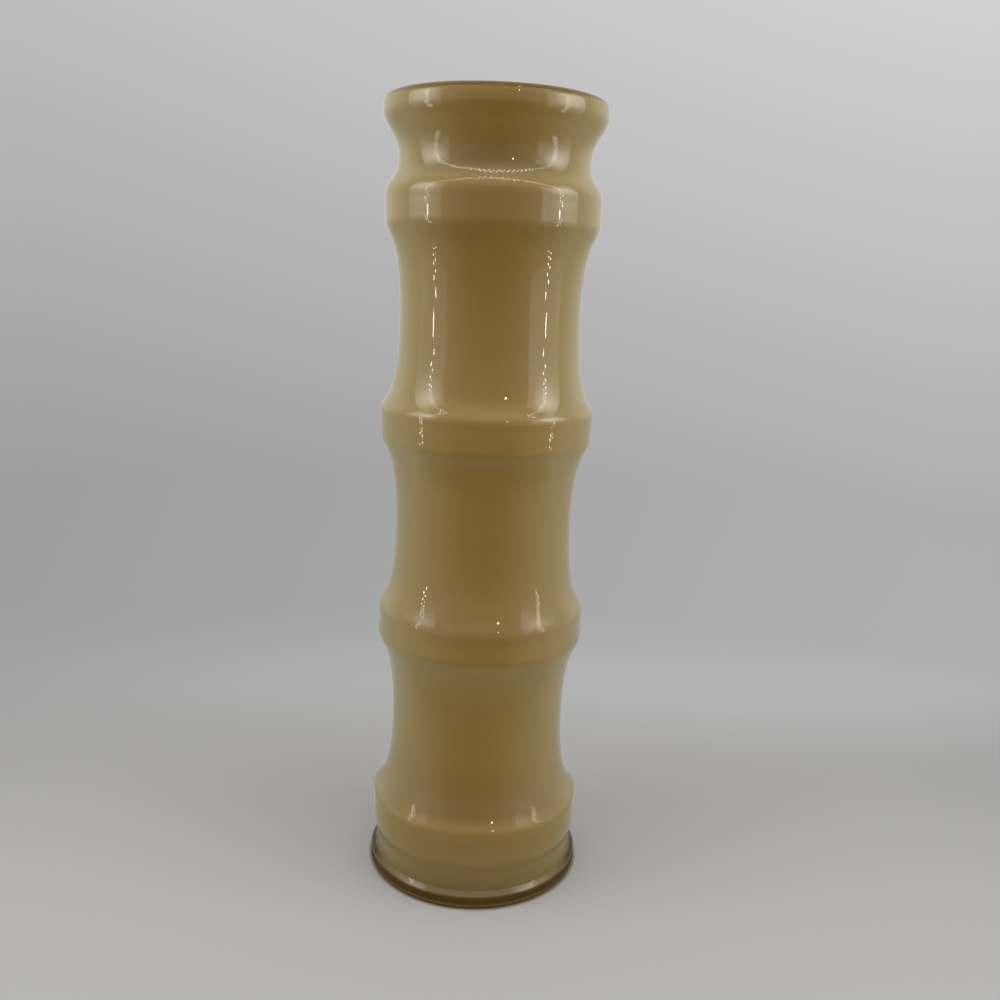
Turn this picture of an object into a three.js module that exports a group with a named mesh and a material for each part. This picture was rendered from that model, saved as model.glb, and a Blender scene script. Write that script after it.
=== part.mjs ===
// A cased glass vase blown in a mould as a stem of bamboo.
// Amber glass lies over an opal lining, and the vase stands on a foot of the same amber glass.
// The axis is Z, the foot stands on Z = 0, and all lengths are in millimetres.

import * as THREE from 'three';

// Bamboo rings, from the lowest one up
const FIRST_RING_HEIGHT = 21.4;
const RING_PITCH = 65.6;
const RING_RADII = [34.9, 33.75, 33.85, 33.2];
const RING_BAND = 7.2;
const SHOULDER_HANDLE = 3.8;

// Waists between the rings
const WAIST_RADII = [28.8, 28.55, 28.3];
const COVE_REACH = 2.4;

// Neck and lip above the top ring
const NECK_RISE = 14.5;
const NECK_RADIUS = 29.35;
const NECK_HANDLE = 6.3;
const LIP_RISE = 31.8;
const LIP_RADIUS = 34.1;
const LIP_BAND = 1.8;
const LIP_COVER = 1.9;
const LIP_INNER_ROUND = 0.9;

// Foot that steps out from the wall, and the groove above it
const FOOT_RADIUS = 35.6;
const FOOT_THICKNESS = 2.8;
const FOOT_EDGE_ROUND = 1.2;
const FOOT_STEP = 1.4;
const RIM_TOP_ANGLE = 60;
const BASE_FLARE_HANDLE = 0.6;
const GROOVE_DEPTH = 1.75;
const GROOVE_HANDLE = 3;
const RECESS_RADIUS = 26;
const RECESS_DEPTH = 1.2;

// Glass layers
const CASING_THICKNESS = 1.7;
const LINING_THICKNESS = 1.6;
const LINING_FLOOR = 3;
const LINING_HEEL_ROUND = 6;
const FUSION_GAP = 0.3;

// Facets
const TURN_STEPS = 32;
const OUTER_CURVE_STEPS = 5;
const INNER_CURVE_STEPS = 3;
const ROUND_STEPS = 4;

// Levels and depths that the layers share
const seatHeight = FOOT_THICKNESS + FUSION_GAP;
const baseRadius = FOOT_RADIUS - FOOT_STEP;
const grooveRadius = FOOT_RADIUS - GROOVE_DEPTH;
const topRingHeight = FIRST_RING_HEIGHT + RING_PITCH * (RING_RADII.length - 1);
const lipHeight = topRingHeight + LIP_RISE;
const liningDepth = CASING_THICKNESS + FUSION_GAP;
const boreDepth = liningDepth + LINING_THICKNESS;
const lipOuterRound = boreDepth - LIP_INNER_ROUND;
const lipBandTop = lipHeight - lipOuterRound;
const liningTop = lipHeight - LIP_COVER - FUSION_GAP;

const point = (radius, height) => new THREE.Vector2(radius, height);
const station = (radius, height, handle) => ({ radius, height, handle });

// The stations that the outer wall passes upright, from the base up to the lip
function wallStations() {
  const halfBand = RING_BAND / 2;
  const waistHandle = RING_PITCH / 2 - halfBand - COVE_REACH;
  const grooveHeight = (seatHeight + FIRST_RING_HEIGHT - halfBand) / 2;
  const stations = [
    station(baseRadius, seatHeight, BASE_FLARE_HANDLE),
    station(grooveRadius, grooveHeight, GROOVE_HANDLE),
  ];
  RING_RADII.forEach((radius, ring) => {
    const height = FIRST_RING_HEIGHT + ring * RING_PITCH;
    stations.push(station(radius, height - halfBand, SHOULDER_HANDLE));
    stations.push(station(radius, height + halfBand, SHOULDER_HANDLE));
    if (ring < WAIST_RADII.length) {
      stations.push(station(WAIST_RADII[ring], height + RING_PITCH / 2, waistHandle));
    }
  });
  stations.push(station(NECK_RADIUS, topRingHeight + NECK_RISE, NECK_HANDLE));
  stations.push(station(LIP_RADIUS, lipBandTop - LIP_BAND, SHOULDER_HANDLE));
  return stations;
}

// The wall's outline at a depth below the outer surface, as S-curves between the stations
function wallOutline(depth, curveSteps, stations = wallStations()) {
  const outline = [point(stations[0].radius - depth, stations[0].height)];
  for (let i = 1; i < stations.length; i += 1) {
    const below = stations[i - 1];
    const above = stations[i];
    const curve = new THREE.CubicBezierCurve(
      point(below.radius - depth, below.height),
      point(below.radius - depth, below.height + below.handle),
      point(above.radius - depth, above.height - above.handle),
      point(above.radius - depth, above.height),
    );
    const steps = below.radius === above.radius ? 1 : curveSteps;
    outline.push(...curve.getPoints(steps).slice(1));
  }
  return outline;
}

// Points of a round from one angle to another, in degrees from the radius direction
function roundPoints(radius, height, size, fromAngle, toAngle) {
  const arc = new THREE.ArcCurve(
    radius,
    height,
    size,
    THREE.MathUtils.degToRad(fromAngle),
    THREE.MathUtils.degToRad(toAngle),
    toAngle < fromAngle,
  );
  return arc.getPoints(ROUND_STEPS);
}

// A named glass piece turned from its outline about the Z axis
function turnedPiece(name, outline, material) {
  const geometry = new THREE.LatheGeometry(outline, TURN_STEPS);
  geometry.rotateX(Math.PI / 2);
  const piece = new THREE.Mesh(geometry, material);
  piece.name = name;
  return piece;
}

const amberGlass = new THREE.MeshStandardMaterial({ color: 0xb48a45, roughness: 0.06, metalness: 0 });
const deepAmberGlass = new THREE.MeshStandardMaterial({ color: 0x6b4a12, roughness: 0.06, metalness: 0 });
const opalGlass = new THREE.MeshStandardMaterial({ color: 0xeadcbd, roughness: 0.12, metalness: 0 });

// The outer wall of amber glass, which closes over the lining at the lip
function amberCasing() {
  const boreRadius = LIP_RADIUS - boreDepth;
  const crestRadius = LIP_RADIUS - lipOuterRound;
  const innerRound = Math.min(LIP_INNER_ROUND, LIP_COVER / 2);
  const outline = [
    ...wallOutline(0, OUTER_CURVE_STEPS),
    ...roundPoints(crestRadius, lipBandTop, lipOuterRound, 0, 90),
    ...roundPoints(boreRadius + innerRound, lipHeight - innerRound, innerRound, 90, 180),
    point(boreRadius, lipHeight - LIP_COVER),
    point(LIP_RADIUS - CASING_THICKNESS, lipHeight - LIP_COVER),
    ...wallOutline(CASING_THICKNESS, INNER_CURVE_STEPS).reverse(),
  ];
  outline.push(outline[0].clone());
  return turnedPiece('amber_casing', outline, amberGlass);
}

// The opal vessel inside the casing, with a floor and a round heel
function opalLining() {
  const floorHeight = seatHeight + LINING_FLOOR;
  const heelRadius = grooveRadius - boreDepth;
  const heelCentre = floorHeight + LINING_HEEL_ROUND;
  const ringStations = wallStations().slice(2);
  const outline = [
    point(0, seatHeight),
    ...wallOutline(liningDepth, INNER_CURVE_STEPS),
    point(LIP_RADIUS - liningDepth, liningTop),
    point(LIP_RADIUS - boreDepth, liningTop),
    ...wallOutline(boreDepth, INNER_CURVE_STEPS, ringStations).reverse(),
    ...roundPoints(heelRadius - LINING_HEEL_ROUND, heelCentre, LINING_HEEL_ROUND, 0, -90),
    point(0, floorHeight),
  ];
  return turnedPiece('opal_lining', outline, opalGlass);
}

// The solid amber foot, with a round rim, flat where it stands and hollowed a little in the middle
function amberFoot() {
  const standRadius = FOOT_RADIUS - FOOT_EDGE_ROUND;
  const recess = new THREE.QuadraticBezierCurve(
    point(0, RECESS_DEPTH),
    point(RECESS_RADIUS / 2, RECESS_DEPTH),
    point(RECESS_RADIUS, 0),
  );
  const outline = [
    ...recess.getPoints(ROUND_STEPS),
    ...roundPoints(standRadius, FOOT_EDGE_ROUND, FOOT_EDGE_ROUND, -90, RIM_TOP_ANGLE),
    point(baseRadius, FOOT_THICKNESS),
    point(0, FOOT_THICKNESS),
  ];
  return turnedPiece('amber_foot', outline, deepAmberGlass);
}

const vase = new THREE.Group();
vase.add(amberCasing(), opalLining(), amberFoot());

export default vase;
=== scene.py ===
"""Looks for a cased glass vase: amber glass blown over an opal lining, standing on a clear amber foot.

Lengths are in metres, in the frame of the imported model: Z is the axis and the foot stands on Z = 0.
"""

import math

import bpy
from mathutils import Matrix, Vector


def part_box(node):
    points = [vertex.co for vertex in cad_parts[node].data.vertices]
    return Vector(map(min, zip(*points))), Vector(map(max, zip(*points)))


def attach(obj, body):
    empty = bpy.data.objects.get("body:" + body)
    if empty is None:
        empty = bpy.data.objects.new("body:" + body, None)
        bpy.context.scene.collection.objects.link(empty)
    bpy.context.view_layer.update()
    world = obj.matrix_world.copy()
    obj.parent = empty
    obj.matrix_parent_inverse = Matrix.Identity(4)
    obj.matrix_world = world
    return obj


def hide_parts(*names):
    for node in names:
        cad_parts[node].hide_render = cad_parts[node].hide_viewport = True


MM = 0.001

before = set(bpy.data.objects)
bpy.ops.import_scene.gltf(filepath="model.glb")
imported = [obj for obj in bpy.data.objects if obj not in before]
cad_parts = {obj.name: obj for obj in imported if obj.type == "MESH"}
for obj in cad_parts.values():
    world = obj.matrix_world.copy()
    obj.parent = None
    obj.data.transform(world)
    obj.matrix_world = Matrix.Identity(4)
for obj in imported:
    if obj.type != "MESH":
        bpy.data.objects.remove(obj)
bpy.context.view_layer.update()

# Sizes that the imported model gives
FOOT_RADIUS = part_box("amber_foot")[1].x
SEAT_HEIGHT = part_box("amber_casing")[0].z
LIP_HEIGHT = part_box("amber_casing")[1].z
LINING_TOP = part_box("opal_lining")[1].z

# Bamboo rings from the lowest one up: radii of the lower and upper edge, and a faint groove between them.
# A longer handle keeps the wall upright for longer before it curves away.
FIRST_RING_HEIGHT = 21.4 * MM
RING_PITCH = 65.6 * MM
RING_BAND = 7.2 * MM
RING_EDGE_RADII = (
    (34.93 * MM, 34.91 * MM),
    (33.86 * MM, 33.70 * MM),
    (33.64 * MM, 34.00 * MM),
    (33.15 * MM, 33.30 * MM),
)
RING_GROOVE_DEPTHS = (0.05 * MM, 0.20 * MM, 0.0, 0.0)
RING_GROOVE_RISE = 0.8 * MM
RING_GROOVE_HANDLE = 1.3 * MM
RING_TOP_RISES = (0.0, -0.2 * MM, 0.6 * MM, 0.0)
SHOULDER_HANDLES = (3.8 * MM, 5.2 * MM, 3.8 * MM, 3.8 * MM)
UNDERSIDE_HANDLE = 4.8 * MM
FIRST_UNDERSIDE_HANDLE = 3.8 * MM

# Waists between the rings, whose handles end a cove short of them, and the neck and lip
WAIST_RADII = (28.8 * MM, 28.55 * MM, 28.3 * MM)
SHOULDER_COVES = (2.0 * MM, 2.4 * MM, 2.0 * MM)
UNDERSIDE_COVE = 4.0 * MM
NECK_RISE = 14.5 * MM
NECK_RADIUS = 29.35 * MM
NECK_HANDLE = 6.3 * MM
LIP_RADIUS = 34.1 * MM
LIP_BAND = 1.8 * MM
LIP_HANDLE = 3.8 * MM
LIP_INNER_ROUND = 0.9 * MM

# Foot that steps out from the wall, and the fillet and groove above it
RIM_LOW_ROUND = 0.8 * MM
RIM_TOP_ROUND = 0.35 * MM
RIM_HEIGHT = 3.85 * MM
GROOVE_DEPTH = 1.75 * MM
GROOVE_HANDLE = 2.5 * MM
FILLET_OUTSET = 0.1 * MM
FILLET_WIDTH = 1.3 * MM
FILLET_HEIGHT = 1.5 * MM
FILLET_HANDLE = 0.15 * MM
SEAT_INSET = 0.5 * MM
RECESS_RADIUS = 26.0 * MM
RECESS_DEPTH = 1.2 * MM

# Glass layers
AMBER_DEPTH = 1.85 * MM
BORE_DEPTH = 3.6 * MM
OPAL_FLOOR = 3.0 * MM
OPAL_HEEL_ROUND = 6.0 * MM
BOND_OVERLAP = 0.15 * MM

# Mesh fineness
TURN_STEPS = 192
WALL_STEPS = 18
HIDDEN_STEPS = 8
ROUND_STEPS = 8
SHARP_ANGLE = math.radians(38)

# Slight waviness of blown glass. Each wave has a share of the size, a count round the axis,
# a turn in radians for each ring pitch of height, and a starting angle.
WAVE_SIZE = 0.05 * MM
BLOWN_WAVES = (
    (1.0, 2, 1.3, 0.6),
    (0.6, 3, -2.1, 2.2),
    (0.35, 5, 3.7, 4.1),
)

# Sizes that follow from those above
LIP_OUTER_ROUND = BORE_DEPTH - LIP_INNER_ROUND
LIP_BAND_TOP = LIP_HEIGHT - LIP_OUTER_ROUND
GROOVE_RADIUS = FOOT_RADIUS - GROOVE_DEPTH
FILLET_RADIUS = GROOVE_RADIUS + FILLET_OUTSET
FILLET_TOP = RIM_HEIGHT + FILLET_HEIGHT
SEAT_RADIUS = GROOVE_RADIUS - SEAT_INSET

# Stations of the wall, counted from the foot, where the inner faces start
GROOVE_STATION = 2
FIRST_RING_STATION = 3


def wall_stations():
    """Radius, height and the handles below and above at each place where the outer wall runs upright."""
    half_band = RING_BAND / 2
    half_waist = RING_PITCH / 2 - half_band
    groove_height = (SEAT_HEIGHT + FIRST_RING_HEIGHT - half_band) / 2
    stations = [
        (FILLET_RADIUS + FILLET_WIDTH, RIM_HEIGHT, 0, 0),
        (FILLET_RADIUS, FILLET_TOP, FILLET_HANDLE, FILLET_HANDLE),
        (GROOVE_RADIUS, groove_height, GROOVE_HANDLE, GROOVE_HANDLE),
    ]
    for ring, (lower, upper) in enumerate(RING_EDGE_RADII):
        height = FIRST_RING_HEIGHT + ring * RING_PITCH
        middle = (lower + upper) / 2 - RING_GROOVE_DEPTHS[ring]
        top = height + half_band + RING_TOP_RISES[ring]
        underside_handle = UNDERSIDE_HANDLE if ring else FIRST_UNDERSIDE_HANDLE
        stations.append((lower, height - half_band, underside_handle, RING_GROOVE_HANDLE))
        stations.append((middle, height + RING_GROOVE_RISE, RING_GROOVE_HANDLE, RING_GROOVE_HANDLE))
        stations.append((upper, top, RING_GROOVE_HANDLE, SHOULDER_HANDLES[ring]))
        if ring < len(WAIST_RADII):
            waist = height + RING_PITCH / 2
            handle_below = half_waist - SHOULDER_COVES[ring]
            handle_above = half_waist - UNDERSIDE_COVE
            stations.append((WAIST_RADII[ring], waist, handle_below, handle_above))
    top_ring_height = FIRST_RING_HEIGHT + RING_PITCH * (len(RING_EDGE_RADII) - 1)
    stations.append((NECK_RADIUS, top_ring_height + NECK_RISE, NECK_HANDLE, NECK_HANDLE))
    stations.append((LIP_RADIUS, LIP_BAND_TOP - LIP_BAND, LIP_HANDLE, 0))
    return stations


def wall_outline(depth, steps, first_station=0):
    """The wall's outline at a depth below the outer surface, as S-curves between the stations."""
    stations = wall_stations()[first_station:]
    outline = [(stations[0][0] - depth, stations[0][1])]
    for below, above in zip(stations, stations[1:]):
        low_radius, low_height, _, low_handle = below
        high_radius, high_height, high_handle, _ = above
        for step in range(1, steps + 1):
            t = step / steps
            s = 1 - t
            rise = t * t * (3 - 2 * t)
            radius = low_radius + (high_radius - low_radius) * rise
            height = (
                s ** 3 * low_height
                + 3 * s * s * t * (low_height + low_handle)
                + 3 * s * t * t * (high_height - high_handle)
                + t ** 3 * high_height
            )
            outline.append((radius - depth, height))
    return outline


def round_points(radius, height, size, from_degrees, to_degrees):
    """Points of a round, with its angles measured from the radius direction."""
    points = []
    for step in range(ROUND_STEPS + 1):
        angle = math.radians(from_degrees + (to_degrees - from_degrees) * step / ROUND_STEPS)
        points.append((radius + size * math.cos(angle), height + size * math.sin(angle)))
    return points


def recess_points():
    """The shallow hollow under the foot, from the axis out to the standing ring."""
    points = []
    for step in range(ROUND_STEPS + 1):
        share = step / ROUND_STEPS
        points.append((RECESS_RADIUS * share, RECESS_DEPTH * (1 - share * share)))
    return points


def blown_wave(angle, height):
    """How far the blown wall stands off its true radius, the same for all layers."""
    wave = 0
    for share, count, turn, start in BLOWN_WAVES:
        wave += share * math.sin(count * angle + turn * height / RING_PITCH + start)
    return WAVE_SIZE * wave


def mesh_object(name, vertices, faces):
    """A new object in the scene with a mesh of these vertices and faces."""
    mesh = bpy.data.meshes.new(name)
    mesh.from_pydata(vertices, [], faces)
    new_object = bpy.data.objects.new(name, mesh)
    bpy.context.scene.collection.objects.link(new_object)
    return new_object


def turned_mesh(name, outline):
    """A closed mesh turned about Z from an outline that starts and ends on the axis."""
    vertices = [(0.0, 0.0, outline[0][1])]
    rings = outline[1:-1]
    for radius, height in rings:
        for step in range(TURN_STEPS):
            angle = 2 * math.pi * step / TURN_STEPS
            wavy = radius + blown_wave(angle, height) * radius / FOOT_RADIUS
            vertices.append((wavy * math.cos(angle), wavy * math.sin(angle), height))
    last = len(vertices)
    vertices.append((0.0, 0.0, outline[-1][1]))
    faces = []
    for step in range(TURN_STEPS):
        after = (step + 1) % TURN_STEPS
        faces.append((0, 1 + after, 1 + step))
        for ring in range(len(rings) - 1):
            low = 1 + ring * TURN_STEPS
            high = low + TURN_STEPS
            faces.append((low + step, low + after, high + after, high + step))
        top = 1 + (len(rings) - 1) * TURN_STEPS
        faces.append((top + step, top + after, last))
    piece = mesh_object(name, vertices, faces)
    piece.data.shade_smooth()
    piece.data.set_sharp_from_angle(angle=SHARP_ANGLE)
    piece.data.update()
    return piece


def casing_outline():
    """The amber casing from its base up over the lip, and its inner face down to the lining's floor."""
    bore_radius = LIP_RADIUS - BORE_DEPTH
    crest_radius = LIP_RADIUS - LIP_OUTER_ROUND
    round_radius = bore_radius + LIP_INNER_ROUND
    return [
        (0.0, SEAT_HEIGHT),
        (SEAT_RADIUS, SEAT_HEIGHT),
        (SEAT_RADIUS, RIM_HEIGHT - BOND_OVERLAP),
        *wall_outline(0, WALL_STEPS),
        *round_points(crest_radius, LIP_BAND_TOP, LIP_OUTER_ROUND, 0, 90),
        *round_points(round_radius, LIP_HEIGHT - LIP_INNER_ROUND, LIP_INNER_ROUND, 90, 180)[1:],
        (bore_radius, LINING_TOP),
        (LIP_RADIUS - AMBER_DEPTH, LINING_TOP),
        *reversed(wall_outline(AMBER_DEPTH, HIDDEN_STEPS, GROOVE_STATION)),
        (0.0, SEAT_HEIGHT + AMBER_DEPTH),
    ]


def lining_outline():
    """The opal vessel inside the casing, with a floor and a round heel."""
    depth = AMBER_DEPTH + BOND_OVERLAP
    heel_radius = GROOVE_RADIUS - BORE_DEPTH
    floor_height = SEAT_HEIGHT + OPAL_FLOOR
    heel_centre = floor_height + OPAL_HEEL_ROUND
    return [
        (0.0, SEAT_HEIGHT + depth),
        (GROOVE_RADIUS - depth, SEAT_HEIGHT + depth),
        *wall_outline(depth, HIDDEN_STEPS, GROOVE_STATION),
        (LIP_RADIUS - depth, LINING_TOP),
        (LIP_RADIUS - BORE_DEPTH, LINING_TOP),
        *reversed(wall_outline(BORE_DEPTH, WALL_STEPS, FIRST_RING_STATION)),
        *round_points(heel_radius - OPAL_HEEL_ROUND, heel_centre, OPAL_HEEL_ROUND, 0, -90),
        (0.0, floor_height),
    ]


def foot_outline():
    """The clear foot: a round rim, a flat standing ring and a shallow hollow, bonded to the base."""
    low_round = FOOT_RADIUS - RIM_LOW_ROUND
    top_round = FOOT_RADIUS - RIM_TOP_ROUND
    bond_radius = SEAT_RADIUS - BOND_OVERLAP
    bond_height = SEAT_HEIGHT + BOND_OVERLAP
    return [
        *recess_points(),
        *round_points(low_round, RIM_LOW_ROUND, RIM_LOW_ROUND, -90, 0),
        *round_points(top_round, RIM_HEIGHT - RIM_TOP_ROUND, RIM_TOP_ROUND, 0, 90),
        (bond_radius, RIM_HEIGHT),
        (bond_radius, bond_height),
        (0.0, bond_height),
    ]


def new_material(name):
    """An empty node material with its node tree and output node."""
    material = bpy.data.materials.new(name)
    material.use_nodes = True
    tree = material.node_tree
    tree.nodes.clear()
    return material, tree, tree.nodes.new("ShaderNodeOutputMaterial")


def noise(tree, scale, detail, stretch=(1, 1, 1)):
    """Noise in object space, in cycles per metre, stretched along the axes."""
    coordinates = tree.nodes.new("ShaderNodeTexCoord")
    mapping = tree.nodes.new("ShaderNodeMapping")
    mapping.inputs["Scale"].default_value = stretch
    texture = tree.nodes.new("ShaderNodeTexNoise")
    texture.inputs["Scale"].default_value = scale
    texture.inputs["Detail"].default_value = detail
    tree.links.new(coordinates.outputs["Object"], mapping.inputs["Vector"])
    tree.links.new(mapping.outputs["Vector"], texture.inputs["Vector"])
    return texture.outputs["Fac"]


def axis_of(tree, vector, axis):
    """A vector's coordinate along one axis."""
    split = tree.nodes.new("ShaderNodeSeparateXYZ")
    tree.links.new(vector, split.inputs["Vector"])
    return split.outputs[axis]


def object_place(tree):
    """The place in object space."""
    return tree.nodes.new("ShaderNodeTexCoord").outputs["Object"]


def ramp(tree, factor, *stops):
    """A colour ramp through stops of a position and a colour or a grey."""
    node = tree.nodes.new("ShaderNodeValToRGB")
    elements = node.color_ramp.elements
    while len(elements) < len(stops):
        elements.new(0.5)
    for element, (position, colour) in zip(elements, stops):
        grey = not isinstance(colour, tuple)
        element.position = position
        element.color = (colour, colour, colour, 1) if grey else (*colour, 1)
    tree.links.new(factor, node.inputs["Fac"])
    return node.outputs["Color"]


def span(tree, value, from_low, from_high, to_low=0.0, to_high=1.0, smooth=False):
    """A value carried from one range to another and held at the ends."""
    node = tree.nodes.new("ShaderNodeMapRange")
    node.interpolation_type = "SMOOTHSTEP" if smooth else "LINEAR"
    node.inputs["From Min"].default_value = from_low
    node.inputs["From Max"].default_value = from_high
    node.inputs["To Min"].default_value = to_low
    node.inputs["To Max"].default_value = to_high
    tree.links.new(value, node.inputs["Value"])
    return node.outputs["Result"]


def multiply(tree, first, second):
    """Two values multiplied, the second of which may be a fixed number."""
    node = tree.nodes.new("ShaderNodeMath")
    node.operation = "MULTIPLY"
    tree.links.new(first, node.inputs[0])
    if isinstance(second, (int, float)):
        node.inputs[1].default_value = second
    else:
        tree.links.new(second, node.inputs[1])
    return node.outputs["Value"]


def larger(tree, first, second):
    """The larger of two values."""
    node = tree.nodes.new("ShaderNodeMath")
    node.operation = "MAXIMUM"
    tree.links.new(first, node.inputs[0])
    tree.links.new(second, node.inputs[1])
    return node.outputs["Value"]


def vector_math(tree, operation, vector, fixed=(0, 0, 0)):
    """An operation on a vector and a fixed one, which gives a length, a distance or another vector."""
    node = tree.nodes.new("ShaderNodeVectorMath")
    node.operation = operation
    node.inputs[1].default_value = fixed
    tree.links.new(vector, node.inputs[0])
    gives_value = operation in ("LENGTH", "DISTANCE")
    return node.outputs["Value" if gives_value else "Vector"]


def mix_colour(tree, factor, first, second):
    """A colour mixed by a factor with a second one, which may be a fixed colour."""
    node = tree.nodes.new("ShaderNodeMix")
    node.data_type = "RGBA"
    tree.links.new(factor, node.inputs["Factor"])
    tree.links.new(first, node.inputs["A"])
    if isinstance(second, tuple):
        node.inputs["B"].default_value = (*second, 1)
    else:
        tree.links.new(second, node.inputs["B"])
    return node.outputs["Result"]


def multiply_colour(tree, first, second):
    """Two colours multiplied."""
    node = tree.nodes.new("ShaderNodeMix")
    node.data_type = "RGBA"
    node.blend_type = "MULTIPLY"
    node.inputs["Factor"].default_value = 1.0
    tree.links.new(first, node.inputs["A"])
    tree.links.new(second, node.inputs["B"])
    return node.outputs["Result"]


def bump(tree, height, distance):
    """A normal pushed by a height over a real distance."""
    node = tree.nodes.new("ShaderNodeBump")
    node.inputs["Strength"].default_value = 1.0
    node.inputs["Distance"].default_value = distance
    tree.links.new(height, node.inputs["Height"])
    return node.outputs["Normal"]


def mix_shader(tree, factor, first, second):
    """Two shaders mixed by a factor."""
    node = tree.nodes.new("ShaderNodeMixShader")
    tree.links.new(factor, node.inputs["Fac"])
    tree.links.new(first, node.inputs[1])
    tree.links.new(second, node.inputs[2])
    return node.outputs["Shader"]


# All glass: how it bends light, and the range that its noise mostly stays in
GLASS_IOR = 1.5
NOISE_LOW = 0.3
NOISE_HIGH = 0.7

# Amber glass with opal behind it, with faint clouds and striae, and a paler painted sheen where it turns
# from the eye
CASED_DEEP = (0.358, 0.212, 0.047)
CASED_PALE = (0.386, 0.234, 0.055)
CASED_STRIAE = (0.32, 0.182, 0.037)
STRIAE_LOW = 0.45
STRIAE_HIGH = 0.75
STRIAE_SHARE = 0.18
CASED_PAINTED_SHEEN = (0.378, 0.272, 0.063)
TURNED_END = 0.6
SHEEN_BASE_SHARE = 0.7
SHEEN_FULL_HEIGHT = 50 * MM
CASED_ROUGHNESS = (0.02, 0.045)
CASED_SHINE = 0.5
RIPPLE_DEPTH = 0.008 * MM

# Painted shade over the dark amber of the sides just above the foot: how far turned they are, and the
# heights about the fillet's top
HEEL_DARK_AMBER_AND_SHADE = (0.10, 0.068, 0.02)
HEEL_TURNED_START = 0.22
HEEL_TURNED_END = 0.5
HEEL_FADE_BELOW = 0.4 * MM
HEEL_FADE_ABOVE = 0.3 * MM
HEEL_SHINE = 0.04

# Deeper amber at the lip's crest: depths below its top where it starts and where it is full
CREST_TONE = (0.15, 0.068, 0.008)
CREST_START = 2.4 * MM
CREST_FULL = 1.0 * MM
CREST_SHARE = 0.9
CREST_SHINE_SHARE = 0.35

# How light the amber layer is at heights in millimetres: partly its own tone and partly painted shade and
# light, darkest at the neck; blue changes more than red and green do
AMBER_TONE_AND_PAINTED_SHADE = (
    (5, 0.60),
    (17, 0.95),
    (22, 0.86),
    (26, 1.05),
    (30, 0.77),
    (45, 0.95),
    (87, 1.05),
    (94, 0.86),
    (98, 0.97),
    (145, 1.00),
    (154, 1.09),
    (162, 0.96),
    (219, 0.82),
    (225, 0.88),
    (229, 0.56),
    (240, 0.97),
    (244, 0.81),
    (248, 0.92),
)
AMBER_BLUE_POWER = 1.5


def amber_tone(tree, height, facing):
    """Amber over opal: faint clouds and striae, painted shade and light by height over its own tone, and
    a painted sheen where it turns away.
    """
    clouds = noise(tree, scale=28, detail=3, stretch=(1, 1, 0.6))
    tone = ramp(tree, clouds, (NOISE_LOW, CASED_DEEP), (NOISE_HIGH, CASED_PALE))
    striae = noise(tree, scale=160, detail=3, stretch=(1, 1, 0.06))
    streaked = span(tree, striae, STRIAE_LOW, STRIAE_HIGH, 0, STRIAE_SHARE)
    tone = mix_colour(tree, streaked, tone, CASED_STRIAE)
    # Painted shade and light by height, together with the amber's own tone
    stops = []
    for level, light in AMBER_TONE_AND_PAINTED_SHADE:
        stops.append((level * MM / LIP_HEIGHT, (light, light, light ** AMBER_BLUE_POWER)))
    tone = multiply_colour(tree, tone, ramp(tree, span(tree, height, 0, LIP_HEIGHT), *stops))
    # Painted sheen: paler where the surface turns from the eye, less of it near the base
    above_base = span(tree, height, 0, SHEEN_FULL_HEIGHT, SHEEN_BASE_SHARE, 1)
    turned = multiply(tree, span(tree, facing, 0, TURNED_END), above_base)
    return mix_colour(tree, turned, tone, CASED_PAINTED_SHEEN)


def cased_amber():
    """Amber glass with opal behind it, with painted shade over dark amber at the sides of its base, and
    darker at the lip's crest.
    """
    material, tree, output = new_material("cased_amber")
    surface = tree.nodes.new("ShaderNodeBsdfPrincipled")
    surface.inputs["IOR"].default_value = GLASS_IOR
    height = axis_of(tree, object_place(tree), "Z")
    facing = tree.nodes.new("ShaderNodeLayerWeight").outputs["Facing"]
    tone = amber_tone(tree, height, facing)
    # Painted shade at the sides just above the foot, where they turn from the eye
    low = span(tree, height, FILLET_TOP - HEEL_FADE_BELOW, FILLET_TOP + HEEL_FADE_ABOVE, 1, 0)
    heel = multiply(tree, span(tree, facing, HEEL_TURNED_START, HEEL_TURNED_END), low)
    tone = mix_colour(tree, heel, tone, HEEL_DARK_AMBER_AND_SHADE)
    crest_start = LIP_HEIGHT - CREST_START
    crest = span(tree, height, crest_start, LIP_HEIGHT - CREST_FULL, 0, CREST_SHARE, smooth=True)
    tone = mix_colour(tree, crest, tone, CREST_TONE)
    tree.links.new(tone, surface.inputs["Base Color"])
    heel_shine = span(tree, heel, 0, 1, CASED_SHINE, HEEL_SHINE)
    crest_shine = span(tree, crest, 0, CREST_SHARE, 1, CREST_SHINE_SHARE)
    tree.links.new(multiply(tree, heel_shine, crest_shine), surface.inputs["Specular IOR Level"])
    smear = noise(tree, scale=70, detail=4)
    roughness = span(tree, smear, NOISE_LOW, NOISE_HIGH, *CASED_ROUGHNESS)
    tree.links.new(roughness, surface.inputs["Roughness"])
    ripple = noise(tree, scale=110, detail=1, stretch=(1, 1, 0.6))
    tree.links.new(bump(tree, ripple, RIPPLE_DEPTH), surface.inputs["Normal"])
    tree.links.new(surface.outputs["BSDF"], output.inputs["Surface"])
    return material


# Milky opal glass
OPAL_DEEP = (0.62, 0.50, 0.31)
OPAL_PALE = (0.68, 0.57, 0.38)
OPAL_ROUGHNESS = (0.05, 0.10)


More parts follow.
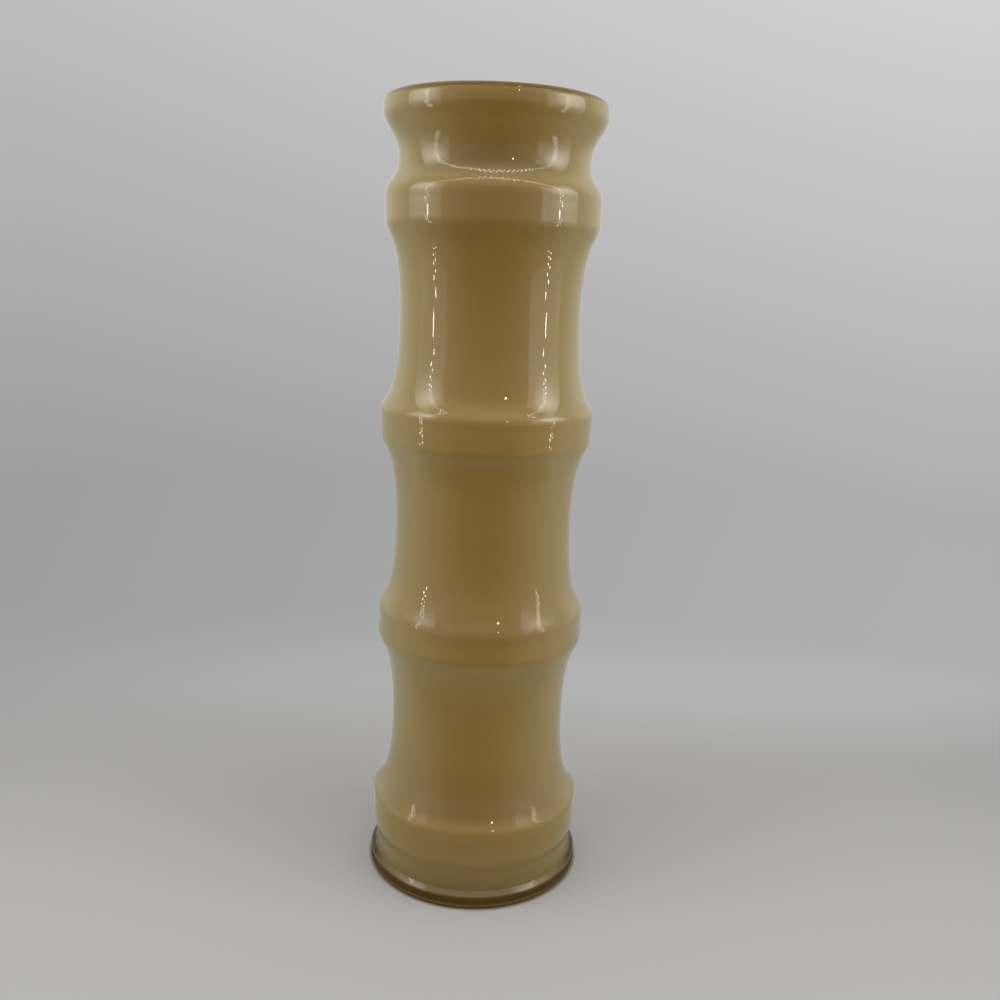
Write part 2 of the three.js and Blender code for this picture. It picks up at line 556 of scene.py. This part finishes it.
def opal_glass():
    """Milky opal glass, warm cream with soft clouds and a fire-polished skin."""
    material, tree, output = new_material("opal_glass")
    surface = tree.nodes.new("ShaderNodeBsdfPrincipled")
    surface.inputs["IOR"].default_value = GLASS_IOR
    clouds = noise(tree, scale=35, detail=4, stretch=(1, 1, 0.5))
    tone = ramp(tree, clouds, (NOISE_LOW, OPAL_DEEP), (NOISE_HIGH, OPAL_PALE))
    tree.links.new(tone, surface.inputs["Base Color"])
    smear = noise(tree, scale=70, detail=4)
    roughness = span(tree, smear, NOISE_LOW, NOISE_HIGH, *OPAL_ROUGHNESS)
    tree.links.new(roughness, surface.inputs["Roughness"])
    tree.links.new(surface.outputs["BSDF"], output.inputs["Surface"])
    return material


# Clear amber glass of the foot, with painted light that makes it paler towards its lower edge
CLEAR_DEEP = (0.25, 0.125, 0.001)
CLEAR_PALE = (0.29, 0.150, 0.002)
CLEAR_LOW_PAINTED_LIGHT = (0.55, 0.38, 0.14)
CLEAR_LOW_FULL = 0.6 * MM
CLEAR_LOW_END = 2.0 * MM
CLEAR_TRANSMISSION = 0.6
CLEAR_SHINE = 0.3
CLEAR_ROUGHNESS = (0.02, 0.05)
CLEAR_ABSORPTION = (0.85, 0.7, 0.02, 1)
CLEAR_DENSITY = 200


def clear_amber():
    """Clear amber glass, darker where it is thicker, with faint striae and a fire-polished skin."""
    material, tree, output = new_material("clear_amber")
    surface = tree.nodes.new("ShaderNodeBsdfPrincipled")
    surface.inputs["Transmission Weight"].default_value = CLEAR_TRANSMISSION
    surface.inputs["Specular IOR Level"].default_value = CLEAR_SHINE
    surface.inputs["IOR"].default_value = GLASS_IOR
    striae = noise(tree, scale=60, detail=3)
    tone = ramp(tree, striae, (NOISE_LOW, CLEAR_DEEP), (NOISE_HIGH, CLEAR_PALE))
    height = axis_of(tree, object_place(tree), "Z")
    # Painted light towards the foot's lower edge
    low = span(tree, height, CLEAR_LOW_FULL, CLEAR_LOW_END, 1, 0, smooth=True)
    tone = mix_colour(tree, low, tone, CLEAR_LOW_PAINTED_LIGHT)
    tree.links.new(tone, surface.inputs["Base Color"])
    smear = noise(tree, scale=90, detail=4)
    roughness = span(tree, smear, NOISE_LOW, NOISE_HIGH, *CLEAR_ROUGHNESS)
    tree.links.new(roughness, surface.inputs["Roughness"])
    volume = tree.nodes.new("ShaderNodeVolumeAbsorption")
    volume.inputs["Color"].default_value = CLEAR_ABSORPTION
    volume.inputs["Density"].default_value = CLEAR_DENSITY
    tree.links.new(surface.outputs["BSDF"], output.inputs["Surface"])
    tree.links.new(volume.outputs["Volume"], output.inputs["Volume"])
    return material


# Pieces of the vase
casing = turned_mesh("cased_body", casing_outline())
casing.data.materials.append(cased_amber())
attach(casing, "root")
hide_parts("amber_casing")

lining = turned_mesh("opal_vessel", lining_outline())
lining.data.materials.append(opal_glass())
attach(lining, "root")
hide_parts("opal_lining")

foot = turned_mesh("clear_foot", foot_outline())
foot.data.materials.append(clear_amber())
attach(foot, "root")
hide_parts("amber_foot")

# Camera at the photograph's place, with its lens and sensor in millimetres
CAMERA_PLACE = (0, -0.3194, 0.2005)
CAMERA_PITCH = math.radians(12.967)
CAMERA_YAW = math.radians(0.947)
CAMERA_ROLL = math.radians(2.118)
CAMERA_LENS = 36
CAMERA_SENSOR = 36

# Stage: a wide floor with a painted amber shadow at the foot, that turns into a backdrop glow with
# painted light behind the vase and far away
FLOOR_DROP = 0.2 * MM
FLOOR_REACH = 20.0
FLOOR_GREY = (0.68, 0.675, 0.67)
FLOOR_SHINE = 0.1
FLOOR_ROUGHNESS = 0.7
FOOT_SHADE = (0.34, 0.26, 0.17)
FOOT_SHADE_REACH = 1.2 * MM
BACKDROP_START = 0.05
BACKDROP_END = 0.17
BACKDROP_FAR_START = 0.3
BACKDROP_FAR_END = 1.2

# Painted light on the backdrop: its shades by how far up a direction points, and their share by how far
# left or right it points
BACKDROP_PAINTED_LIGHT = ((-0.40, 0.44), (-0.33, 0.38), (-0.2, 0.375), (0.0, 0.46), (0.24, 0.57))
BACKDROP_SIDE = 0.4
BACKDROP_LEFT_SHARE = 0.91
BACKDROP_RIGHT_SHARE = 1.12

# Faces of a mesh that has four corners
ONE_FACE = [(0, 1, 2, 3)]


def level_square(reach, height):
    """Corners of a level square about the axis."""
    return [(x * reach, y * reach, height) for x, y in ((-1, -1), (1, -1), (1, 1), (-1, 1))]


def shade_backdrop(tree, direction, glow):
    """Gives a glow the backdrop's painted light, its shade and strength for a direction: palest above and
    to the right.
    """
    stops = [(level / 2 + 0.5, shade) for level, shade in BACKDROP_PAINTED_LIGHT]
    shade = ramp(tree, span(tree, axis_of(tree, direction, "Z"), -1, 1), *stops)
    sideways = axis_of(tree, direction, "X")
    strength = span(
        tree, sideways, -BACKDROP_SIDE, BACKDROP_SIDE, BACKDROP_LEFT_SHARE, BACKDROP_RIGHT_SHARE
    )
    tree.links.new(shade, glow.inputs["Color"])
    tree.links.new(strength, glow.inputs["Strength"])


def pale_floor():
    """A pale floor with a painted amber shadow round the foot, and beyond it a backdrop glow with painted
    light that only the camera sees.
    """
    material, tree, output = new_material("pale_floor")
    place = object_place(tree)
    away = vector_math(tree, "LENGTH", place)
    surface = tree.nodes.new("ShaderNodeBsdfPrincipled")
    # Painted amber shadow on the floor round the foot
    clear = span(tree, away, FOOT_RADIUS, FOOT_RADIUS + FOOT_SHADE_REACH)
    tree.links.new(ramp(tree, clear, (0, FOOT_SHADE), (1, FLOOR_GREY)), surface.inputs["Base Color"])
    surface.inputs["Specular IOR Level"].default_value = FLOOR_SHINE
    surface.inputs["Roughness"].default_value = FLOOR_ROUGHNESS

    backdrop = tree.nodes.new("ShaderNodeEmission")
    offset = vector_math(tree, "SUBTRACT", place, CAMERA_PLACE)
    shade_backdrop(tree, vector_math(tree, "NORMALIZE", offset), backdrop)

    behind = span(tree, axis_of(tree, place, "Y"), BACKDROP_START, BACKDROP_END, smooth=True)
    distant = span(tree, away, BACKDROP_FAR_START, BACKDROP_FAR_END, smooth=True)
    seen = tree.nodes.new("ShaderNodeLightPath")
    beyond = multiply(tree, larger(tree, behind, distant), seen.outputs["Is Camera Ray"])
    choice = mix_shader(tree, beyond, surface.outputs["BSDF"], backdrop.outputs["Emission"])
    tree.links.new(choice, output.inputs["Surface"])
    return material


stage = mesh_object("floor", level_square(FLOOR_REACH, -FLOOR_DROP), ONE_FACE)
stage.data.materials.append(pale_floor())
stage.visible_glossy = False

# Soft light all round, and what the glass mirrors: dim in front, bright at the sides and above.
# The stops run from the front (0) to the back (1). A range is how far up a direction points
# where one row of stops fades into the next.
SOFT_LEVELS = ((0.0, 0.34), (0.5, 0.46), (1.0, 0.54))
SOFT_TOP_START = 0.2
SOFT_TOP_SHARE = 0.6
MIRROR_BELOW = ((0.0, 0.1), (0.15, 0.25), (0.37, 0.55), (0.63, 0.92), (1.0, 0.45))
MIRROR_LOW_RANGE = (-0.6, -0.4)
MIRROR_LOW = ((0.0, 0.15), (0.07, 0.28), (0.25, 0.72), (0.45, 0.93), (0.65, 0.84), (1.0, 0.45))
MIRROR_HIGH_RANGE = (-0.3, 0.15)
MIRROR_HIGH = (
    (0.0, 0.46),
    (0.07, 0.64),
    (0.15, 0.95),
    (0.25, 1.2),
    (0.63, 1.15),
    (0.8, 1.25),
    (1.0, 0.75),
)
MIRROR_ABOVE_RANGE = (0.35, 0.85)
MIRROR_ABOVE = (1.15, 1.15, 1.12)


def soft_light(tree, height, depth):
    """Soft light all round, weaker from above."""
    soft = tree.nodes.new("ShaderNodeBackground")
    tree.links.new(ramp(tree, depth, *SOFT_LEVELS), soft.inputs["Color"])
    strength = span(tree, height, SOFT_TOP_START, 1, 1, SOFT_TOP_SHARE)
    tree.links.new(strength, soft.inputs["Strength"])
    return soft.outputs["Background"]


def mirrored_light(tree, height, depth):
    """What the glass mirrors: a row of stops from front to back for each range of heights."""
    below = ramp(tree, depth, *MIRROR_BELOW)
    low = ramp(tree, depth, *MIRROR_LOW)
    high = ramp(tree, depth, *MIRROR_HIGH)
    shade = mix_colour(tree, span(tree, height, *MIRROR_LOW_RANGE, smooth=True), below, low)
    shade = mix_colour(tree, span(tree, height, *MIRROR_HIGH_RANGE, smooth=True), shade, high)
    shade = mix_colour(tree, span(tree, height, *MIRROR_ABOVE_RANGE, smooth=True), shade, MIRROR_ABOVE)
    mirror = tree.nodes.new("ShaderNodeBackground")
    tree.links.new(shade, mirror.inputs["Color"])
    return mirror.outputs["Background"]


def surroundings():
    """A world with soft light, a shading that glass mirrors, and a backdrop that the camera sees."""
    world = bpy.data.worlds.new("surroundings")
    bpy.context.scene.world = world
    world.use_nodes = True
    tree = world.node_tree
    tree.nodes.clear()
    output = tree.nodes.new("ShaderNodeOutputWorld")
    direction = tree.nodes.new("ShaderNodeTexCoord").outputs["Generated"]
    height = axis_of(tree, direction, "Z")
    level = vector_math(tree, "MULTIPLY", direction, (1, 1, 0))
    heading = vector_math(tree, "NORMALIZE", level)
    depth = span(tree, axis_of(tree, heading, "Y"), -1, 1)
    backdrop = tree.nodes.new("ShaderNodeBackground")
    shade_backdrop(tree, direction, backdrop)
    seen = tree.nodes.new("ShaderNodeLightPath").outputs
    soft = soft_light(tree, height, depth)
    mirror = mirrored_light(tree, height, depth)
    light = mix_shader(tree, seen["Is Glossy Ray"], soft, mirror)
    choice = mix_shader(tree, seen["Is Camera Ray"], light, backdrop.outputs["Background"])
    tree.links.new(choice, output.inputs["Surface"])


surroundings()

# An arch of small lamps over the vase, with soft panels beside it and above it
ARCH_DEPTH = -0.1075
ARCH_LEFT = -0.284
ARCH_RIGHT = 0.291
ARCH_TOP = 0.43
ARCH_BAR_DEPTH = -0.1105
ARCH_CORNER = 0.12
ARCH_FOOT = 0.082
ARCH_CENTRE = (ARCH_LEFT + ARCH_RIGHT) / 2
ARCH_REACH = (ARCH_RIGHT - ARCH_LEFT) / 2
PANEL_LEFT = -0.295
PANEL_RIGHT = 0.300
PANEL_BACK = 0.012
PANEL_FRONT_LEFT = -0.222
PANEL_FRONT_RIGHT = -0.265
PANEL_LOW = 0.12
PANEL_LOW_END = 0.23
PANEL_LOW_SHARE = 0.55
PANEL_HIGH = 0.46
PANEL_LAMP_RADIANCE = 1.2
PANEL_LEFT_RADIANCE = 1.9
PANEL_RIGHT_RADIANCE = 2.2
PANEL_COLOUR = (1.0, 1.0, 0.93, 1)
PANEL_GLOW = 2.0
PANEL_GLOW_PLACE = (0, -0.09, 0.322)
PANEL_GLOW_REACH = 0.15
OVERHEAD_PLACE = (0, ARCH_DEPTH, 0.46)
OVERHEAD_RADIANCE = 1.1
OVERHEAD_WIDTH = 0.5
OVERHEAD_LENGTH = 0.3


def soft_lamp(name, place, facing, width, height, radiance):
    """A soft lamp that lights the vase and is not seen itself."""
    lamp = bpy.data.lights.new(name, "AREA")
    lamp.shape = "RECTANGLE"
    lamp.size = width
    lamp.size_y = height
    lamp.energy = radiance * math.pi * width * height
    holder = bpy.data.objects.new(name, lamp)
    holder.location = place
    holder.rotation_euler = Vector(facing).to_track_quat("-Z", "Y").to_euler()
    holder.visible_camera = False
    holder.visible_glossy = False
    bpy.context.scene.collection.objects.link(holder)


def mirrored_card(name, vertices, faces, material):
    """A piece of the light rig that is seen only in mirrors."""
    material.cycles.emission_sampling = "NONE"
    card = mesh_object(name, vertices, faces)
    card.data.materials.append(material)
    card.visible_camera = False
    card.visible_diffuse = False
    card.visible_transmission = False
    card.visible_shadow = False


def panel_glow(name, radiance):
    """A panel's glow: soft at its lower edge and brighter near the arch."""
    material, tree, output = new_material(name)
    place = object_place(tree)
    height = axis_of(tree, place, "Z")
    rise = span(tree, height, PANEL_LOW, PANEL_LOW_END, PANEL_LOW_SHARE, 1, smooth=True)
    in_panel = vector_math(tree, "MULTIPLY", place, (0, 1, 1))
    apart = vector_math(tree, "DISTANCE", in_panel, PANEL_GLOW_PLACE)
    near = span(tree, apart, 0, PANEL_GLOW_REACH, 1 + PANEL_GLOW, 1, smooth=True)
    strength = multiply(tree, multiply(tree, rise, near), radiance)
    glow = tree.nodes.new("ShaderNodeEmission")
    glow.inputs["Color"].default_value = PANEL_COLOUR
    tree.links.new(strength, glow.inputs["Strength"])
    tree.links.new(glow.outputs["Emission"], output.inputs["Surface"])
    return material


def side_panel(name, x, front, radiance):
    """A soft panel at one side: a lamp that lights the vase and a card that it mirrors."""
    middle = (x, (PANEL_BACK + front) / 2, (PANEL_LOW + PANEL_HIGH) / 2)
    soft_lamp(name, middle, (-x, 0, 0), PANEL_BACK - front, PANEL_HIGH - PANEL_LOW, PANEL_LAMP_RADIANCE)
    corners = [
        (x, front, PANEL_LOW),
        (x, PANEL_BACK, PANEL_LOW),
        (x, PANEL_BACK, PANEL_HIGH),
        (x, front, PANEL_HIGH),
    ]
    mirrored_card(name + "_card", corners, ONE_FACE, panel_glow(name + "_glow", radiance))


side_panel("panel_left", PANEL_LEFT, PANEL_FRONT_LEFT, PANEL_LEFT_RADIANCE)
side_panel("panel_right", PANEL_RIGHT, PANEL_FRONT_RIGHT, PANEL_RIGHT_RADIANCE)
soft_lamp("overhead", OVERHEAD_PLACE, (0, 0, -1), OVERHEAD_WIDTH, OVERHEAD_LENGTH, OVERHEAD_RADIANCE)

# The floor as the glass mirrors it: pale near the vase, and dark where the foot stands on it
MIRRORED_FLOOR_GLOW = 0.5
MIRRORED_FLOOR_NEAR = 0.065
MIRRORED_FLOOR_REACH = 0.17
MIRRORED_FOOT_GLOW = 0.03
MIRRORED_FOOT_REACH = 10 * MM


def mirrored_floor():
    """A patch of floor that only mirrors see and that fades out away from the vase."""
    material, tree, output = new_material("mirrored_floor")
    away = vector_math(tree, "LENGTH", object_place(tree))
    foot_end = FOOT_RADIUS + MIRRORED_FOOT_REACH
    lit = span(tree, away, FOOT_RADIUS, foot_end, MIRRORED_FOOT_GLOW, MIRRORED_FLOOR_GLOW)
    glow = tree.nodes.new("ShaderNodeEmission")
    tree.links.new(lit, glow.inputs["Strength"])
    clear = tree.nodes.new("ShaderNodeBsdfTransparent")
    fade = span(tree, away, MIRRORED_FLOOR_NEAR, MIRRORED_FLOOR_REACH, smooth=True)
    choice = mix_shader(tree, fade, glow.outputs["Emission"], clear.outputs["BSDF"])
    tree.links.new(choice, output.inputs["Surface"])
    corners = level_square(MIRRORED_FLOOR_REACH, -FLOOR_DROP / 2)
    mirrored_card("mirrored_floor", corners, ONE_FACE, material)


mirrored_floor()

# Lamps along the arch, in two staggered rows, that the glass shows as fine dotted lines
BAR_LAMP_PITCH = 16.7 * MM
POST_LAMP_PITCH = 20 * MM
LAMP_ROW_GAP = 15 * MM
LAMP_SIZE = 4.5 * MM
LAMP_COLOUR = (1.0, 0.97, 0.9, 1)
LAMP_RADIANCE = 36

# One warm lamp behind the camera
WARM_LAMP_PLACE = (0.66, -1.63, 1.08)
WARM_LAMP_SIZE = 60 * MM
WARM_LAMP_COLOUR = (1.0, 0.86, 0.6, 1)
WARM_LAMP_RADIANCE = 70


def plain_glow(name, colour, strength):
    """One even glow."""
    material, tree, output = new_material(name)
    glow = tree.nodes.new("ShaderNodeEmission")
    glow.inputs["Color"].default_value = colour
    glow.inputs["Strength"].default_value = strength
    tree.links.new(glow.outputs["Emission"], output.inputs["Surface"])
    return material


def bar_lamps(row):
    """Places of one row of lamps along the arch's bar."""
    y = ARCH_BAR_DEPTH + row * LAMP_ROW_GAP
    count = int((ARCH_REACH - ARCH_CORNER) * 2 / BAR_LAMP_PITCH)
    places = []
    for lamp in range(count + 1):
        along = (lamp - count / 2 + row / 2) * BAR_LAMP_PITCH
        places.append((ARCH_CENTRE + along, y, ARCH_TOP))
    return places


def post_lamps(row, side):
    """Places of one row of lamps up one post of the arch and round its corner."""
    y = ARCH_DEPTH + row * LAMP_ROW_GAP
    post_top = ARCH_TOP - ARCH_CORNER
    height = ARCH_FOOT + (row + 0.5) * POST_LAMP_PITCH / 2
    places = []
    while height < post_top:
        places.append((ARCH_CENTRE + side * ARCH_REACH, y, height))
        height += POST_LAMP_PITCH
    turn = (height - post_top) / ARCH_CORNER
    while turn < math.pi / 2:
        outward = ARCH_REACH - ARCH_CORNER + ARCH_CORNER * math.cos(turn)
        places.append((ARCH_CENTRE + side * outward, y, post_top + ARCH_CORNER * math.sin(turn)))
        turn += POST_LAMP_PITCH / ARCH_CORNER
    return places


def arch_lamps():
    """Places of all the arch's lamps, in rows half a gap in front of its middle and half a gap behind."""
    places = []
    for row in (-0.5, 0.5):
        places += bar_lamps(row) + post_lamps(row, -1) + post_lamps(row, 1)
    return places


def small_lamps(name, places, size, glow):
    """One mesh of small square lamps that face the vase."""
    middle = Vector((0, 0, LIP_HEIGHT / 2))
    vertices = []
    faces = []
    for place in places:
        centre = Vector(place)
        facing = (middle - centre).normalized()
        across = facing.cross(Vector((0, 0, 1))).normalized() * size / 2
        upward = across.cross(facing).normalized() * size / 2
        first = len(vertices)
        for corner in (-across - upward, across - upward, across + upward, upward - across):
            vertices.append(tuple(centre + corner))
        faces.append((first, first + 1, first + 2, first + 3))
    mirrored_card(name, vertices, faces, glow)


lamp_glow = plain_glow("lamp_glow", LAMP_COLOUR, LAMP_RADIANCE)
small_lamps("arch_lamps", arch_lamps(), LAMP_SIZE, lamp_glow)
warm_glow = plain_glow("warm_glow", WARM_LAMP_COLOUR, WARM_LAMP_RADIANCE)
small_lamps("warm_lamp", [WARM_LAMP_PLACE], WARM_LAMP_SIZE, warm_glow)


def place_camera():
    """A camera that looks down at the vase, turned and rolled a little."""
    forward = Vector((
        math.sin(CAMERA_YAW) * math.cos(CAMERA_PITCH),
        math.cos(CAMERA_YAW) * math.cos(CAMERA_PITCH),
        -math.sin(CAMERA_PITCH),
    ))
    level_right = Vector((math.cos(CAMERA_YAW), -math.sin(CAMERA_YAW), 0))
    level_up = level_right.cross(forward)
    right = level_right * math.cos(CAMERA_ROLL) + level_up * math.sin(CAMERA_ROLL)
    upward = level_up * math.cos(CAMERA_ROLL) - level_right * math.sin(CAMERA_ROLL)
    data = bpy.data.cameras.new("camera")
    data.sensor_width = CAMERA_SENSOR
    data.lens = CAMERA_LENS
    camera = bpy.data.objects.new("camera", data)
    turn = Matrix((right, upward, -forward)).transposed()
    camera.matrix_world = Matrix.Translation(CAMERA_PLACE) @ turn.to_4x4()
    bpy.context.scene.collection.objects.link(camera)
    bpy.context.scene.camera = camera


place_camera()
bpy.context.scene.view_settings.view_transform = "Standard"
